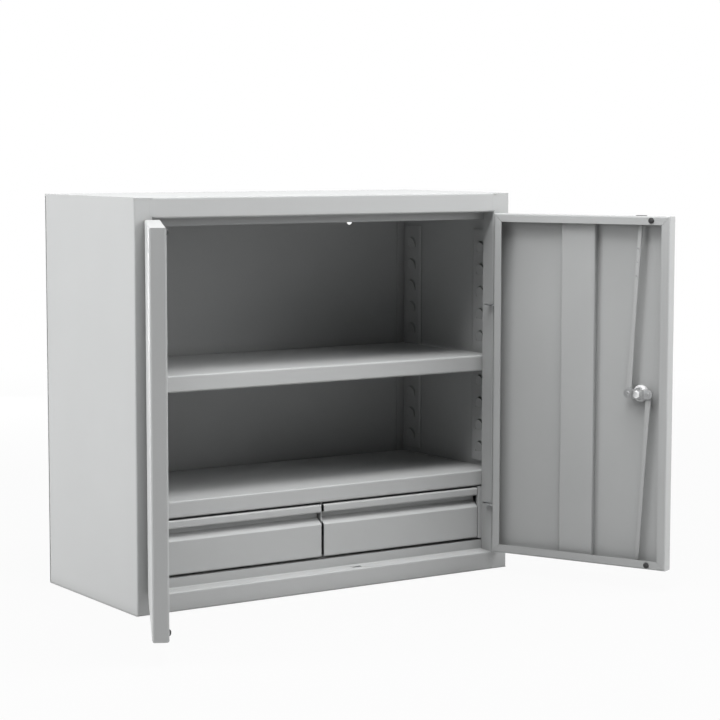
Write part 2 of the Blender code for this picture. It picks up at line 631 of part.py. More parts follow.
def build_lock_case(axis, zinc):
    """Build the lock's barrel through the door skin and the round chamfered nut that clamps it."""
    lock = (-LOCK_REACH, LOCK_HEIGHT)
    outer = DOOR_OUTER
    barrel = cylinder(lock, "Y", LOCK_BARREL_DIAMETER, outer - GAP - LOCK_COLLAR / 2, outer + LOCK_BARREL_LENGTH)
    case = add_object("lock_barrel", barrel, zinc, parent=axis)
    shape_with(case, cylinder(lock, "Y", LOCK_COLLAR_DIAMETER, outer - GAP - LOCK_COLLAR, outer - GAP, 24), "UNION")
    shape_with(case, cylinder(lock, "Y", SPINDLE_DIAMETER + 2 * RUNNING_CLEARANCE, outer - GAP - LOCK_COLLAR - CLEAR,
                              outer + LOCK_BARREL_LENGTH + CLEAR))
    seat = outer + SHEET + GAP
    bore, rim = LOCK_BARREL_DIAMETER / 2 + GAP, LOCK_NUT_DIAMETER / 2
    profile = [(bore, seat), (rim, seat), (rim, seat + LOCK_NUT_SHOULDER), (rim - LOCK_NUT_CHAMFER, seat + LOCK_NUT),
               (bore, seat + LOCK_NUT), (bore, seat)]
    add_object("lock_nut", turned(profile, (lock[0], 0.0, lock[1]), 24), zinc, parent=axis)


def build_lock_cam(axis, zinc):
    """Build what turns together: handle with spindle, cranked cam, its bolt and the two rod rivets."""
    centre = Vector((-LOCK_REACH, DOOR_OUTER, LOCK_HEIGHT))
    spot = (centre.x, centre.z)
    lobe_back = DOOR_OUTER + CAM_LOBE_DEPTH
    crown_back = lobe_back + CAM_CRANK
    collar_face = DOOR_OUTER - GAP - LOCK_COLLAR - GAP
    spindle = cylinder(spot, "Y", SPINDLE_DIAMETER, collar_face - GRIP_BAR_HEIGHT / 2, crown_back - GAP)
    handle = add_object("lock_handle", spindle, zinc, parent=axis, origin=centre)
    half_length, half_width = GRIP_BAR_LENGTH / 2, GRIP_BAR_WIDTH / 2
    grip = folded_block((centre.x - half_width, collar_face - GRIP_BAR_HEIGHT, centre.z - half_length),
                        (centre.x + half_width, collar_face, centre.z + half_length), GRIP_BAR_WIDTH / 6)
    shape_with(handle, grip, "UNION")
    bolt_bore = CAM_BOLT_DIAMETER + 2 * GAP
    shape_with(handle, cylinder(spot, "Y", bolt_bore, crown_back - CAM_BOLT_GRIP - GAP, crown_back + CLEAR))

    middle = CAM_THICKNESS / 2
    tip = CAM_PIN_RADIUS + CAM_LOBE_RADIUS + CLEAR
    foot = CAM_CENTRE_HALF + CAM_CRANK_RUN
    path = [(-tip, lobe_back + middle), (-foot, lobe_back + middle), (-CAM_CENTRE_HALF, crown_back + middle),
            (CAM_CENTRE_HALF, crown_back + middle), (foot, lobe_back + middle), (tip, lobe_back + middle)]
    outline = [(centre.x + x, y) for x, y in sheet_outline(path, CAM_THICKNESS, BEND_RADIUS / 3)]
    half = CAM_LOBE_RADIUS
    strap = prism(outline, "Z", centre.z - half - CLEAR, centre.z + half + CLEAR)
    cam = add_object("lock_cam", strap, zinc, parent=axis, origin=centre)
    stadium = [*arc((centre.x + CAM_PIN_RADIUS, centre.z), half, -90.0, 90.0, 8),
               *arc((centre.x - CAM_PIN_RADIUS, centre.z), half, 90.0, 270.0, 8)]
    shape_with(cam, prism(stadium, "Y", lobe_back - CLEAR, crown_back + CAM_THICKNESS + CLEAR), "INTERSECT")
    rivet_bore = RIVET_DIAMETER + 2 * RUNNING_CLEARANCE
    bores = [cylinder(spot, "Y", bolt_bore, lobe_back, crown_back + CAM_THICKNESS + CLEAR)]
    bores += [cylinder((centre.x + hand * CAM_PIN_RADIUS, centre.z), "Y", rivet_bore, lobe_back - CLEAR,
                       lobe_back + CAM_THICKNESS + CLEAR) for hand in (-1, 1)]
    shape_with(cam, combine(bores))

    seat = crown_back + CAM_THICKNESS + GAP
    shank = cylinder(spot, "Y", CAM_BOLT_DIAMETER, crown_back - CAM_BOLT_GRIP, seat + CAM_BOLT_HEAD / 2)
    bolt = add_object("lock_cam_bolt", shank, zinc, parent=axis, origin=centre)
    corner = CAM_BOLT_ACROSS / math.cos(math.pi / 6)
    shape_with(bolt, cylinder(spot, "Y", corner, seat, seat + CAM_BOLT_HEAD, 6), "UNION")


def rod_outline(pin, tip):
    """Return a flat rod's outline in its own plane, rounded at the pin and tapered to its tip."""
    pin, tip = Vector(pin), Vector(tip)
    along = (tip - pin).normalized()
    across = Vector((along.y, -along.x))
    heading = math.degrees(math.atan2(along.y, along.x))
    eye = arc(pin, ROD_PIN_WIDTH / 2, heading + 90.0, heading + 270.0, 8)
    half_tip = ROD_TIP_WIDTH / 2
    return [*eye, tuple(tip + across * half_tip), tuple(tip - across * half_tip)]


def build_rods(axis, paint, zinc):
    """Build the upper and lower rods on their cam rivets, drawn back as in the unlocked lock."""
    front = DOOR_OUTER + ROD_BACK - ROD_THICKNESS
    back = DOOR_OUTER + ROD_BACK
    rods = (("upper", 1, DOOR_TOP - ROD_TIP_INSET), ("lower", -1, DOOR_BOTTOM + ROD_TIP_INSET))
    for name, hand, tip_height in rods:
        pin = (-LOCK_REACH + hand * CAM_PIN_RADIUS, LOCK_HEIGHT)
        origin = (pin[0], (front + back) / 2, pin[1])
        blank = prism(rod_outline(pin, (-LOCK_REACH, tip_height)), "Y", front, back)
        rod = add_object(f"lock_rod_{name}", blank, paint, parent=axis, origin=origin)
        bore = RIVET_DIAMETER + 2 * RUNNING_CLEARANCE
        shape_with(rod, cylinder(pin, "Y", bore, front - CLEAR, back + CLEAR))
        low = front - GAP - RIVET_HEAD
        high = DOOR_OUTER + CAM_LOBE_DEPTH + CAM_THICKNESS + GAP + RIVET_HEAD
        shank, head = RIVET_DIAMETER / 2, RIVET_HEAD_DIAMETER / 2
        profile = [(0.0, high), (head * 0.6, high), (head, high - RIVET_HEAD), (shank, high - RIVET_HEAD),
                   (shank, low + RIVET_HEAD), (head, low + RIVET_HEAD), (head * 0.6, low), (0.0, low)]
        add_object(f"lock_rivet_{name}", turned(profile, (pin[0], 0.0, pin[1])), zinc, parent=axis, origin=origin)


def main():
    """Build every piece of the cabinet."""
    clear_scene()
    paint = make_material("grey_paint", (0.56, 0.57, 0.57), 0.45, 0.0)
    steel = make_material("plain_steel", (0.52, 0.53, 0.54), 0.4, 0.7)
    zinc = make_material("bright_zinc", (0.78, 0.79, 0.80), 0.28, 1.0)
    rubber = make_material("black_rubber", (0.03, 0.03, 0.032), 0.7, 0.0)

    build_end_panel("top_panel", paint, True, HEADER_HEIGHT, HEADER_STOP)
    build_end_panel("bottom_panel", paint, False, SILL_HEIGHT, SILL_STOP)
    build_back_panel(paint)
    adjustable_top = LEVEL_FIRST + LEVEL_PITCH * SHELF_LEVEL + GAP + SHEET
    build_shelf("adjustable_shelf", adjustable_top, STRIP_FACE - SHELF_SIDE_CLEARANCE, FLANGE_INSIDE - CLEAR, paint)
    build_shelf("fixed_shelf", FIXED_SHELF_TOP, WALL_INSIDE - GAP, FLANGE_INSIDE - CLEAR, paint)
    build_drawer_deck(paint)

    strips = {"front": FRONT + STRIP_FRONT_SETBACK, "rear": BACK - STRIP_REAR_SETBACK}
    for side, side_name in ((-1, "left"), (1, "right")):
        build_side_panel(side, f"side_panel_{side_name}", paint)
        for place, middle_y in strips.items():
            build_shelf_strip(side, f"shelf_strip_{side_name}_{place}", middle_y, paint)
        build_drawer(side, side_name, paint)
        axis = build_door(side, side_name, paint, rubber)
        for place, height in HINGE_HEIGHTS.items():
            build_hinge(side, side_name, place, height, axis, steel)
    build_lock_case(axis, zinc)
    build_lock_cam(axis, zinc)
    build_rods(axis, paint, zinc)
    bpy.context.view_layer.update()


main()
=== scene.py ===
"""Looks of a sheet-steel workshop wall cabinet: its finishes, small fittings, camera and light."""
import json
import logging
import math
from dataclasses import dataclass
from enum import Enum
from typing import Any, Mapping, Optional, Sequence, Union

import bmesh
import bpy
from mathutils import Matrix, Vector

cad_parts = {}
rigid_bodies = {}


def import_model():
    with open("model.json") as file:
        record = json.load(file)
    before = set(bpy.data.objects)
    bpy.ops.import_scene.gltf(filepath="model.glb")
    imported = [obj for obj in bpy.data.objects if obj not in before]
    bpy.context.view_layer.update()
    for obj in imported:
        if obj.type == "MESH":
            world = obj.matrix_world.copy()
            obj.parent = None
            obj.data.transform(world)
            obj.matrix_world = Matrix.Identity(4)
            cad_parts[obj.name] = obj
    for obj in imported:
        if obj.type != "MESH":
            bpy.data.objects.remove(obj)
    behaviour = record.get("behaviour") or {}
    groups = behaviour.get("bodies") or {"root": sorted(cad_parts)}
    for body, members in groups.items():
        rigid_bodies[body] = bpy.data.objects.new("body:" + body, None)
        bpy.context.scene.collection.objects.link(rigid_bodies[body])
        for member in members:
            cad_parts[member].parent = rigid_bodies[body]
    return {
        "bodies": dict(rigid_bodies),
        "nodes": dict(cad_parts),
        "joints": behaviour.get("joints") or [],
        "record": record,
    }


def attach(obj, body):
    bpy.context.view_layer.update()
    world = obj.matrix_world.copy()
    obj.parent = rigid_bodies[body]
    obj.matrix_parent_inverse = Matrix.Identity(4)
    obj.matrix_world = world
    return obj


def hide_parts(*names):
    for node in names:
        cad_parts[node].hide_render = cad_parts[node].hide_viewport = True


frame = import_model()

Colour = tuple[float, float, float]
Point = tuple[float, float, float]
Span = tuple[float, float]
Profile = tuple[tuple[float, float], ...]
Number = Union[int, float]

LOG = logging.getLogger("wall_cabinet")
WHITE = (1.0, 1.0, 1.0, 1.0)
NOISE_MEAN = 0.5
MERGE_GAP = 1e-6
CUT_GAP = 1e-7
SAME_LEVEL = 1e-5
RIM_DEG = 50.0


class Slot(str, Enum):
    """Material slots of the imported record."""

    PAINT = "grey_paint"
    STEEL = "plain_steel"
    ZINC = "bright_zinc"
    RUBBER = "black_rubber"


class Hand(Enum):
    """Which side of the cabinet, with its sign along X."""

    LEFT = -1
    RIGHT = 1

    @property
    def word(self) -> str:
        """The hand as it stands in node names."""
        return self.name.lower()


@dataclass(frozen=True)
class Wire:
    """A shader output that takes part in Python expressions."""

    graph: "Graph"
    socket: bpy.types.NodeSocket

    def _math(self, operation: str, first: "Signal", second: "Signal") -> "Wire":
        """Add one Math node and return its result."""
        return self.graph.node("ShaderNodeMath", {"operation": operation}, {0: first, 1: second})

    def __add__(self, other: "Signal") -> "Wire":
        """Sum of two signals."""
        return self._math("ADD", self, other)

    __radd__ = __add__

    def __mul__(self, other: "Signal") -> "Wire":
        """Product of two signals."""
        return self._math("MULTIPLY", self, other)

    __rmul__ = __mul__

    def __sub__(self, other: "Signal") -> "Wire":
        """Difference of two signals."""
        return self._math("SUBTRACT", self, other)

    def __rsub__(self, other: "Signal") -> "Wire":
        """Difference from a number, such as 1 - mask."""
        return self._math("SUBTRACT", other, self)

    def maximum(self, other: "Signal") -> "Wire":
        """Larger of two signals."""
        return self._math("MAXIMUM", self, other)


Signal = Union[Wire, Number]


class Graph:
    """The node tree of one material or of the world."""

    def __init__(self, tree: bpy.types.NodeTree) -> None:
        """Take a node tree and empty it."""
        self.tree = tree
        self.tree.nodes.clear()

    def node(self, kind: str, settings: Optional[Mapping[str, Any]] = None,
             inputs: Optional[Mapping[Union[str, int], Any]] = None,
             output: Union[str, int] = 0) -> Wire:
        """Add any node.

        Args:
            kind: The node's type.
            settings: Its settings, which are set first.
            inputs: The values or wires of its sockets.
            output: Which output to return.

        Returns:
            The chosen output.
        """
        made = self.tree.nodes.new(kind)
        for name, value in (settings or {}).items():
            setattr(made, name, value)
        for key, value in (inputs or {}).items():
            if isinstance(value, Wire):
                self.tree.links.new(value.socket, made.inputs[key])
            else:
                made.inputs[key].default_value = value
        return Wire(self, made.outputs[output])

    def end(self, kind: str, shader: Wire) -> None:
        """Add the tree's output node.

        Args:
            kind: The output node's type.
            shader: What it shows.
        """
        result = self.tree.nodes.new(kind)
        self.tree.links.new(shader.socket, result.inputs["Surface"])

    def noise(self, place: Wire, scale: float, detail: float = 2.0,
              roughness: float = 0.5) -> Wire:
        """Add a noise texture.

        Args:
            place: Coordinates to read.
            scale: Features to a metre.
            detail: Octaves.
            roughness: Weight of the finer octaves.

        Returns:
            The noise's value, about 0.5 on average.
        """
        return self.node("ShaderNodeTexNoise", {"noise_dimensions": "3D"},
                         {"Vector": place, "Scale": scale, "Detail": detail,
                          "Roughness": roughness})

    def blend(self, factor: Signal, first: Any, second: Any) -> Wire:
        """Mix two colours.

        Args:
            factor: Share of the second colour.
            first: A colour or a wire.
            second: A colour or a wire.

        Returns:
            The mixed colour.
        """
        colours = [value if isinstance(value, Wire) else (*value, 1.0) for value in (first, second)]
        return self.node("ShaderNodeMix", {"data_type": "RGBA"},
                         {0: factor, 6: colours[0], 7: colours[1]}, output=2)

    def ramp(self, factor: Wire, low: float, high: float) -> Wire:
        """Map a signal from a range to 0 to 1.

        Args:
            factor: The signal.
            low: What becomes 0.
            high: What becomes 1.

        Returns:
            The clamped signal.
        """
        return self.node("ShaderNodeMapRange", {"clamp": True},
                         {"Value": factor, "From Min": low, "From Max": high})

    def bump(self, height: Wire, strength: float, distance: float) -> Wire:
        """Add a Bump node.

        Args:
            height: The relief.
            strength: How much of it shows.
            distance: Its depth in metres.

        Returns:
            The bent normal.
        """
        return self.node("ShaderNodeBump", None,
                         {"Height": height, "Strength": strength, "Distance": distance})


@dataclass(frozen=True)
class Finish:
    """What every finish shares: a name, a colour and a way to make its material."""

    name: str
    colour: Colour
    roughness: float

    def material(self) -> bpy.types.Material:
        """Return the finish's material, made once.

        Returns:
            The Blender material.
        """
        known = bpy.data.materials.get(self.name)
        if known:
            return known
        made = bpy.data.materials.new(self.name)
        made.use_nodes = True
        graph = Graph(made.node_tree)
        place = graph.node("ShaderNodeTexCoord", output="Object")
        graph.end("ShaderNodeOutputMaterial", self.shader(graph, place))
        return made

    def shader(self, graph: Graph, place: Wire) -> Wire:
        """Build the finish's shader.

        Args:
            graph: Where its nodes go.
            place: Object coordinates.

        Returns:
            The shader's output.
        """
        raise NotImplementedError


@dataclass(frozen=True)
class PowderCoat(Finish):
    """Satin powder coat: fine orange peel, faint mottling, painted shade and grime in folds."""

    index: float = 1.46
    peel_scale: float = 900.0
    grain_scale: float = 2600.0
    cloud_scale: float = 5.0
    shades: Span = (0.955, 1.03)
    mottle_span: Span = (0.3, 0.7)
    mottle_cloud: float = 0.6
    bump_peel: float = 0.7
    bump_strength: float = 0.35
    bump_height: float = 0.00006
    peel_gloss: float = 0.08
    cloud_gloss: float = 0.1
    # Colour of the painted shade, with some grime, that darkens folds, crevices and recesses.
    grime: Colour = (0.15, 0.15, 0.147)
    fold_reach: float = 0.024
    fold_samples: int = 8
    fold_span: Span = (0.25, 0.9)
    fold_share: float = 0.42
    fold_even: float = 0.75
    fold_cloud: float = 0.5

    def shader(self, graph: Graph, place: Wire) -> Wire:
        """Build the coat.

        Args:
            graph: Where its nodes go.
            place: Object coordinates.

        Returns:
            The shader's output.
        """
        peel = graph.noise(place, self.peel_scale, detail=3.0, roughness=0.55)
        grain = graph.noise(place, self.grain_scale, detail=1.0)
        cloud = graph.noise(place, self.cloud_scale, detail=3.0, roughness=0.6)
        # Painted shade: ambient occlusion darkens the coat's colour in folds, crevices and
        # recesses, where shade falls, made patchy like grime.
        folds = graph.node("ShaderNodeAmbientOcclusion",
                           {"samples": self.fold_samples, "only_local": False},
                           {"Distance": self.fold_reach}, output="AO")
        patchy = cloud * self.fold_cloud + self.fold_even
        painted_shade_and_grime = (1 - graph.ramp(folds, *self.fold_span)) * patchy * self.fold_share
        mottle = cloud * self.mottle_cloud + grain * (1.0 - self.mottle_cloud)
        dark, light = [tuple(level * share for level in self.colour) for share in self.shades]
        paint = graph.blend(graph.ramp(mottle, *self.mottle_span), dark, light)
        relief = peel * self.bump_peel + grain * (1.0 - self.bump_peel)
        rough = (self.roughness + self.peel_gloss * (peel - NOISE_MEAN)
                 + self.cloud_gloss * (cloud - NOISE_MEAN))
        # The base colour carries the painted shade and grime in the folds.
        return graph.node("ShaderNodeBsdfPrincipled", None, {
            "Base Color": graph.blend(painted_shade_and_grime, paint, self.grime), "Roughness": rough,
            "IOR": self.index,
            "Normal": graph.bump(relief, self.bump_strength, self.bump_height)})


@dataclass(frozen=True)
class PlatedSteel(Finish):
    """Plated or rolled steel: drawn streaks, cloudy plating and dull spots."""

    dull: Colour = (0.42, 0.42, 0.41)
    metallic: float = 1.0
    streak_scale: float = 260.0
    streak_stretch: Point = (1.0, 1.0, 0.06)
    spot_scale: float = 420.0
    wear_spot: float = 0.65
    wear_span: Span = (0.48, 0.68)
    wear_share: float = 0.55
    wear_gloss: float = 0.16
    wear_metal: float = 0.12
    streak_gloss: float = 0.1
    bump_streak: float = 0.6
    bump_strength: float = 0.25
    bump_height: float = 0.00005

    def shader(self, graph: Graph, place: Wire) -> Wire:
        """Build the plating.

        Args:
            graph: Where its nodes go.
            place: Object coordinates.

        Returns:
            The shader's output.
        """
        drawn = graph.node("ShaderNodeMapping", None,
                           {"Vector": place, "Scale": self.streak_stretch})
        streak = graph.noise(drawn, self.streak_scale, detail=4.0, roughness=0.6)
        spot = graph.noise(place, self.spot_scale, detail=3.0, roughness=0.65)
        worn = graph.ramp(spot * self.wear_spot + streak * (1.0 - self.wear_spot), *self.wear_span)
        relief = streak * self.bump_streak + spot * (1.0 - self.bump_streak)
        rough = (self.roughness + self.wear_gloss * worn
                 + self.streak_gloss * (streak - NOISE_MEAN))
        return graph.node("ShaderNodeBsdfPrincipled", None, {
            "Base Color": graph.blend(worn * self.wear_share, self.colour, self.dull),
            "Roughness": rough, "Metallic": self.metallic - self.wear_metal * worn,
            "Normal": graph.bump(relief, self.bump_strength, self.bump_height)})


@dataclass(frozen=True)
class MouldedRubber(Finish):
    """Matt black rubber with a moulded grain and a dusty bloom."""

    bloom: Colour = (0.11, 0.11, 0.108)
    bloom_scale: float = 180.0
    bloom_span: Span = (0.45, 0.75)
    bloom_share: float = 0.45
    grain_scale: float = 1500.0
    grain_gloss: float = 0.2
    bump_strength: float = 0.4
    bump_height: float = 0.0001

    def shader(self, graph: Graph, place: Wire) -> Wire:
        """Build the rubber.

        Args:
            graph: Where its nodes go.
            place: Object coordinates.

        Returns:
            The shader's output.
        """
        grain = graph.noise(place, self.grain_scale, detail=3.0, roughness=0.6)
        bloom = graph.noise(place, self.bloom_scale, detail=4.0, roughness=0.6)
        dusty = graph.ramp(bloom, *self.bloom_span) * self.bloom_share
        return graph.node("ShaderNodeBsdfPrincipled", None, {
            "Base Color": graph.blend(dusty, self.colour, self.bloom),
            "Roughness": self.roughness + self.grain_gloss * (grain - NOISE_MEAN),
            "Normal": graph.bump(grain, self.bump_strength, self.bump_height)})


PAINT = PowderCoat("satin_grey_coat", (0.45, 0.457, 0.457), 0.46)
ZINC = PlatedSteel("bright_zinc_plate", (0.86, 0.865, 0.87), 0.3)
DULL_ZINC = PlatedSteel("dull_zinc_plate", (0.40, 0.405, 0.41), 0.52,
                        dull=(0.28, 0.28, 0.275), metallic=0.8)
SATIN_ZINC = PlatedSteel("satin_zinc_plate", (0.72, 0.725, 0.73), 0.4,
                         dull=(0.55, 0.55, 0.54), metallic=0.12)
STEEL = PlatedSteel("rolled_steel", (0.55, 0.56, 0.57), 0.36, metallic=0.9)
RUBBER = MouldedRubber("moulded_rubber", (0.028, 0.028, 0.03), 0.72)
FINISH_OF_SLOT = {Slot.PAINT: PAINT, Slot.STEEL: STEEL, Slot.ZINC: ZINC, Slot.RUBBER: RUBBER}


class Workpiece:
    """A mesh in the making, shaped by bmesh operators along the axes of its own space."""

    def __init__(self) -> None:
        """Start with nothing."""
        self.shape = bmesh.new()

    @classmethod
    def turned(cls, profile: Sequence[tuple[float, float]], steps: int = 32) -> "Workpiece":
        """Spin a profile about the Y axis.

        Args:
            profile: Radii and depths; a ring's profile ends where it starts.
            steps: Facets round the axis.

        Returns:
            The turned piece.
        """
        piece = cls()
        ring = profile[0] == profile[-1]
        verts = [piece.shape.verts.new((radius, depth, 0.0))
                 for radius, depth in profile[:len(profile) - ring]]
        ends = [*verts[1:], verts[0]] if ring else verts[1:]
        edges = [piece.shape.edges.new(pair) for pair in zip(verts, ends)]
        bmesh.ops.spin(piece.shape, geom=[*verts, *edges], cent=(0.0, 0.0, 0.0),
                       axis=(0.0, 1.0, 0.0), dvec=(0.0, 0.0, 0.0), angle=math.tau, steps=steps,
                       use_merge=True)
        piece.weld()
        return piece

    @classmethod
    def disc(cls, radius: float, segments: int = 26) -> "Workpiece":
        """Make a flat disc across the Y axis.

        Args:
            radius: Its radius to a corner.
            segments: Its corners; 26 leave none on the Z axis.

        Returns:
            The disc.
        """
        piece = cls()
        bmesh.ops.create_circle(piece.shape, cap_ends=True, segments=segments, radius=radius,
                                matrix=Matrix.Rotation(math.pi / 2, 4, "X"))
        return piece

    @classmethod
    def box(cls, low: Sequence[float], high: Sequence[float]) -> "Workpiece":
        """Make a block between two corners.

        Args:
            low: Its lowest corner.
            high: Its highest corner.

        Returns:
            The block.
        """
        piece = cls()
        bmesh.ops.create_cube(piece.shape, size=1.0)
        low, high = Vector(low), Vector(high)
        bmesh.ops.scale(piece.shape, vec=high - low, verts=piece.shape.verts)
        bmesh.ops.translate(piece.shape, vec=(low + high) / 2, verts=piece.shape.verts)
        return piece

    @classmethod
    def sleeve(cls, length: float, width: float, height: float, wall: float,
               corner: float) -> "Workpiece":
        """Make a rounded oblong sleeve that hangs down from the origin along Z.

        Args:
            length: Outside size along X.
            width: Outside size along Y.
            height: Size along Z.
            wall: Thickness of its wall.
            corner: Radius of its outside corners.

        Returns:
            The sleeve.
        """
        piece = cls.box((-length / 2, -width / 2, -height), (length / 2, width / 2, 0.0))
        upright = [edge for edge in piece.shape.edges
                   if abs(edge.verts[0].co.z - edge.verts[1].co.z) > height / 2]
        piece.round_edges(corner, segments=4, chosen=upright)
        ends = [face for face in piece.shape.faces if abs(face.normal.z) > 0.9]
        bmesh.ops.inset_individual(piece.shape, faces=ends, thickness=wall)
        rims = [edge for face in ends for edge in face.edges]
        bmesh.ops.delete(piece.shape, geom=ends, context="FACES_ONLY")
        bmesh.ops.bridge_loops(piece.shape, edges=rims)
        piece.weld()
        piece.round_edges(min(wall, height) / 4, least_deg=60.0)
        return piece

    @classmethod
    def folded(cls, path: Sequence[tuple[float, float]], low: float, rise: float, bend: float,
               segments: int) -> "Workpiece":
        """Raise a path into an upright sheet that has no thickness yet.

        Args:
            path: The sheet's corners along X and Y.
            low: Its lower edge.
            rise: Its height.
            bend: Size of its rounded folds.
            segments: Facets of a fold.

        Returns:
            The sheet.
        """
        sheet = cls()
        verts = [sheet.shape.verts.new((x, y, low)) for x, y in path]
        edges = [sheet.shape.edges.new(pair) for pair in zip(verts, verts[1:])]
        raised = bmesh.ops.extrude_edge_only(sheet.shape, edges=edges)
        lifted = [item for item in raised["geom"] if isinstance(item, bmesh.types.BMVert)]
        bmesh.ops.translate(sheet.shape, vec=(0.0, 0.0, rise), verts=lifted)
        folds = [edge for edge in sheet.shape.edges if len(edge.link_faces) == 2]
        sheet.round_edges(bend, segments, chosen=folds)
        return sheet

    def weld(self) -> None:
        """Merge doubled points and turn every face outwards."""
        bmesh.ops.remove_doubles(self.shape, verts=self.shape.verts, dist=MERGE_GAP)
        bmesh.ops.recalc_face_normals(self.shape, faces=self.shape.faces)

    def cut(self, place: Sequence[float], normal: Sequence[float]) -> None:
        """Add edges where a plane crosses the faces.

        Args:
            place: A point on the plane.
            normal: The plane's direction.
        """
        everything = [*self.shape.verts, *self.shape.edges, *self.shape.faces]
        bmesh.ops.bisect_plane(self.shape, geom=everything, dist=CUT_GAP, plane_co=place,
                               plane_no=normal)

    def thicken(self, depth: float) -> None:
        """Extrude every face along Y into a closed plate.

        Args:
            depth: The plate's thickness.
        """
        faces = list(self.shape.faces)
        raised = bmesh.ops.extrude_face_region(self.shape, geom=faces, use_keep_orig=True)
        moved = [item for item in raised["geom"] if isinstance(item, bmesh.types.BMVert)]
        bmesh.ops.translate(self.shape, vec=(0.0, depth, 0.0), verts=moved)
        self.weld()

    def give_wall(self, wall: float) -> None:
        """Give a sheet its thickness."""
        bmesh.ops.solidify(self.shape, geom=list(self.shape.faces), thickness=wall)
        self.weld()

    def round_edges(self, width: float, segments: int = 2, least_deg: float = 30.0,
                    chosen: Optional[Sequence[bmesh.types.BMEdge]] = None) -> None:
        """Bevel the sharp edges.

        Args:
            width: Offset of the bevel.
            segments: Its facets.
            least_deg: Edges that fold less than this stay.
            chosen: The edges to take instead.
        """
        least = math.radians(least_deg)
        edges = chosen or [edge for edge in self.shape.edges
                           if len(edge.link_faces) == 2 and edge.calc_face_angle() > least]
        bmesh.ops.bevel(self.shape, geom=list(edges), offset=width, offset_type="OFFSET",
                        affect="EDGES", segments=segments, profile=0.5, clamp_overlap=True,
                        material=-1)

    def place(self, matrix: Matrix) -> None:
        """Move the whole piece."""
        bmesh.ops.transform(self.shape, matrix=matrix, verts=self.shape.verts)

    def join(self, other: "Workpiece") -> None:
        """Take in another piece's mesh.

        Args:
            other: The piece, which is used up.
        """
        helper = bpy.data.meshes.new("joined")
        other.shape.to_mesh(helper)
        other.shape.free()
        self.shape.from_mesh(helper)
        bpy.data.meshes.remove(helper)

    def hand_over(self, name: str, finish: Finish, slot: Slot, body: str,
                  replaced: Sequence[str] = (), sharp_deg: float = 35.0) -> None:
        """Finish the piece as an object that rides on a CAD body.

        Args:
            name: The piece's name.
            finish: What it is coated with.
            slot: The record's material slot; not used.
            body: The body that it moves with.
            replaced: CAD nodes that it stands for.
            sharp_deg: Folds above this angle stay sharp in the shading.
        """
        mesh = bpy.data.meshes.new(name)
        self.shape.to_mesh(mesh)
        self.shape.free()
        mesh.shade_smooth()
        mesh.set_sharp_from_angle(angle=math.radians(sharp_deg))
        mesh.materials.append(finish.material())
        piece = bpy.data.objects.new(name, mesh)
        bpy.context.scene.collection.objects.link(piece)
        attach(piece, body)
        if replaced:
            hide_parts(*replaced)
        LOG.info("built %s on %s", name, body)


@dataclass(frozen=True)
class DoorSpace:
    """A door's own axes: X along the door, Y into the cabinet when shut, Z up."""

    hand: Hand
    pivot_x: float = 0.308
    pivot_y: float = -0.1405
    left_open_deg: float = 116.85
    right_open_deg: float = 114.2
    outer_skin: float = -0.0045

    def matrix(self, reach: float, depth: float, height: float) -> Matrix:
        """Return the space of a fitting on the door.

        Args:
            reach: Distance from the hinge axis along the door.
            depth: Place through the door, from the hinge axis inwards.
            height: Height above the cabinet's underside.

        Returns:
            The fitting's space, with the door at rest.
        """
        sign = self.hand.value
        turn = self.right_open_deg if self.hand is Hand.RIGHT else -self.left_open_deg
        axis = Matrix.Translation((sign * self.pivot_x, self.pivot_y, 0.0))
        swing = Matrix.Rotation(math.radians(turn), 4, "Z")
        return axis @ swing @ Matrix.Translation((-sign * reach, depth, height))


@dataclass(frozen=True)
class DoorBuffers:
    """Domed rubber buffers pushed into a door's lips at its free edge."""

    hand: Hand
    reach: float = 0.2765
    heights: tuple[tuple[str, float], ...] = (("top", 0.562), ("bottom", 0.037))
    seat: float = 0.0183
    profile: Profile = (
        (0.0, 0.0028), (0.0012, 0.00275), (0.0024, 0.00245), (0.0034, 0.0019), (0.0041, 0.00125),
        (0.0045, 0.0007), (0.0045, 0.0002), (0.0043, 0.0), (0.0018, 0.0), (0.0018, -0.0012),
        (0.0018, -0.0030), (0.0013, -0.0038), (0.0, -0.0040))

    def build(self) -> None:
        """Build both buffers of the door."""
        word = self.hand.word
        for place, height in self.heights:
            head = Workpiece.turned(self.profile)
            head.place(DoorSpace(self.hand).matrix(self.reach, self.seat, height))
            head.hand_over(f"buffer_{word}_{place}", RUBBER, Slot.RUBBER, f"{word}_door",
                           [f"door_buffer_{word}_{place}"])


